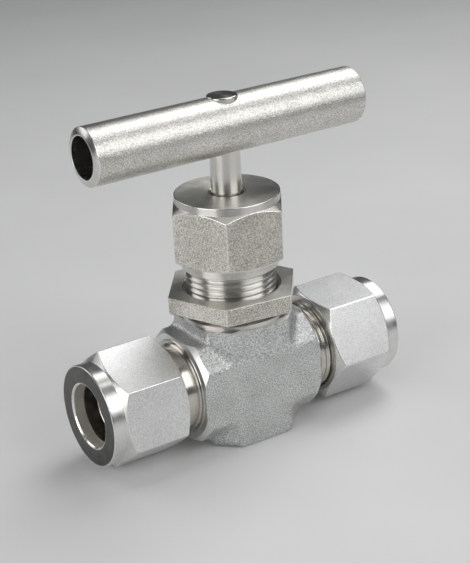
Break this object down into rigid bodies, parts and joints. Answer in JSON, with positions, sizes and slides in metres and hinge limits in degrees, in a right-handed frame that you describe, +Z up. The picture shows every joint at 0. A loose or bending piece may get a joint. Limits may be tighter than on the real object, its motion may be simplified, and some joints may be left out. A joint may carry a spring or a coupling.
{
  "type": "needle valve",
  "caption": "Straight forged needle valve with a T-bar handle, packed stem, panel nut and ferrule tube fittings, for throttling or shutting off a small line.",
  "frame": {"origin": "centre of the foot's underside, on the stem axis", "axes": "+Z up along the stem, +X along the flow from the left tube fitting to the right one, -Y towards the front"},
  "size_m": [0.0724, 0.0272, 0.0736],
  "materials": {
    "forging": "blasted forging",
    "blasted_nut": "fine blasted flats with turned chamfers",
    "tube_nut_steel": "fine blasted flats with polished collars",
    "blasted_bar": "fine blasted",
    "polished_stem": "polished",
    "turned_steel": "turned",
    "screw_steel": "dark satin",
    "packing_ptfe": "smooth waxy"
  },
  "bodies": {
    "valve_body": {"body": "forging", "packing_support_ring": "turned_steel", "packing_bottom_adapter": "packing_ptfe", "packing_v_ring_1": "packing_ptfe", "packing_v_ring_2": "packing_ptfe", "packing_v_ring_3": "packing_ptfe", "packing_top_adapter": "packing_ptfe"},
    "panel_nut": {"panel_nut": "blasted_nut"},
    "gland": {"packing_gland": "turned_steel"},
    "packing_nut": {"packing_nut": "blasted_nut"},
    "needle": {"needle_tip": "polished_stem"},
    "handle": {"stem": "polished_stem", "tip_retaining_pin": "screw_steel", "handle_bar": "blasted_bar", "handle_set_screw": "screw_steel"},
    "left_ferrules": {"left_front_ferrule": "turned_steel", "left_back_ferrule": "turned_steel"},
    "left_nut": {"left_tube_nut": "tube_nut_steel"},
    "right_ferrules": {"right_front_ferrule": "turned_steel", "right_back_ferrule": "turned_steel"},
    "right_nut": {"right_tube_nut": "tube_nut_steel"}
  },
  "joints": [
    {"name": "needle_lift", "type": "slide", "parent": "valve_body", "child": "needle", "axis": [0, 0, 1], "range_m": [-0.0054, 0]},
    {"name": "handle_turn", "type": "hinge", "parent": "needle", "child": "handle", "pos_m": [0, 0, 0.05], "axis": [0, 0, 1], "range_deg": [-1530, 0]},
    {"name": "gland_lift", "type": "slide", "parent": "valve_body", "child": "gland", "axis": [0, 0, 1], "range_m": [0, 0.00223]},
    {"name": "packing_nut_turn", "type": "hinge", "parent": "gland", "child": "packing_nut", "pos_m": [0, 0, 0.045], "axis": [0, 0, 1], "range_deg": [0, 630]},
    {"name": "panel_nut_turn", "type": "hinge", "parent": "valve_body", "child": "panel_nut", "pos_m": [0, 0, 0.031], "axis": [0, 0, 1], "range_deg": [0, 1350]},
    {"name": "left_ferrule_slide", "type": "slide", "parent": "valve_body", "child": "left_ferrules", "axis": [-1, 0, 0], "range_m": [0, 0.0089]},
    {"name": "left_nut_turn", "type": "hinge", "parent": "left_ferrules", "child": "left_nut", "pos_m": [-0.027, 0, 0.0132], "axis": [-1, 0, 0], "range_deg": [0, 2520]},
    {"name": "right_ferrule_slide", "type": "slide", "parent": "valve_body", "child": "right_ferrules", "axis": [1, 0, 0], "range_m": [0, 0.0089]},
    {"name": "right_nut_turn", "type": "hinge", "parent": "right_ferrules", "child": "right_nut", "pos_m": [0.027, 0, 0.0132], "axis": [1, 0, 0], "range_deg": [0, 2520]}
  ],
  "couplings": [
    {"joint": "needle_lift", "follows": "handle_turn", "m_per_rad": 0.00020213},
    {"joint": "gland_lift", "follows": "packing_nut_turn", "m_per_rad": 0.00020213},
    {"joint": "left_ferrule_slide", "follows": "left_nut_turn", "m_per_rad": 0.00020213},
    {"joint": "right_ferrule_slide", "follows": "right_nut_turn", "m_per_rad": 0.00020213}
  ]
}
